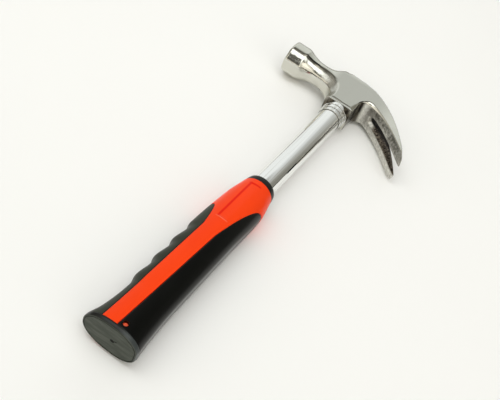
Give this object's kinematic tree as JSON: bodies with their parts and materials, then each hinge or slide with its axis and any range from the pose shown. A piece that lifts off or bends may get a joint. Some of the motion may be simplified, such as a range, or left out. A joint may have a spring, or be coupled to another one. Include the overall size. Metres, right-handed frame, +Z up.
{
  "type": "claw hammer",
  "caption": "Claw hammer with an octagonal poll, a curved nail-pulling claw, a chromed tube shaft and a two-tone moulded grip with finger ridges.",
  "frame": {"origin": "middle of the flat butt face, on the shaft's axis", "axes": "+X along the shaft from the butt to the head, +Y toward the striking face with the claw on the other side, +Z up with the hammer lying on its cheek"},
  "size_m": [0.3385, 0.133, 0.03],
  "materials": {
    "head_plate": "polished plate over a forged head, ground under the claw",
    "tube_chrome": "mirror chrome",
    "plug_steel": "plain turned steel",
    "collar_chrome": "turned and plated",
    "ring_black": "satin black",
    "core_red": "satin orange-red moulding",
    "pad_black": "smooth black overmould",
    "cap_grey": "fine-grained dark grey"
  },
  "bodies": {
    "root": {"head": "head_plate", "shaft_tube": "tube_chrome", "expander_plug": "plug_steel", "socket_collar": "collar_chrome", "nose_ring": "ring_black", "grip_core": "core_red", "finger_pad": "pad_black", "palm_pad": "pad_black", "end_cap": "cap_grey"}
  },
  "joints": []
}
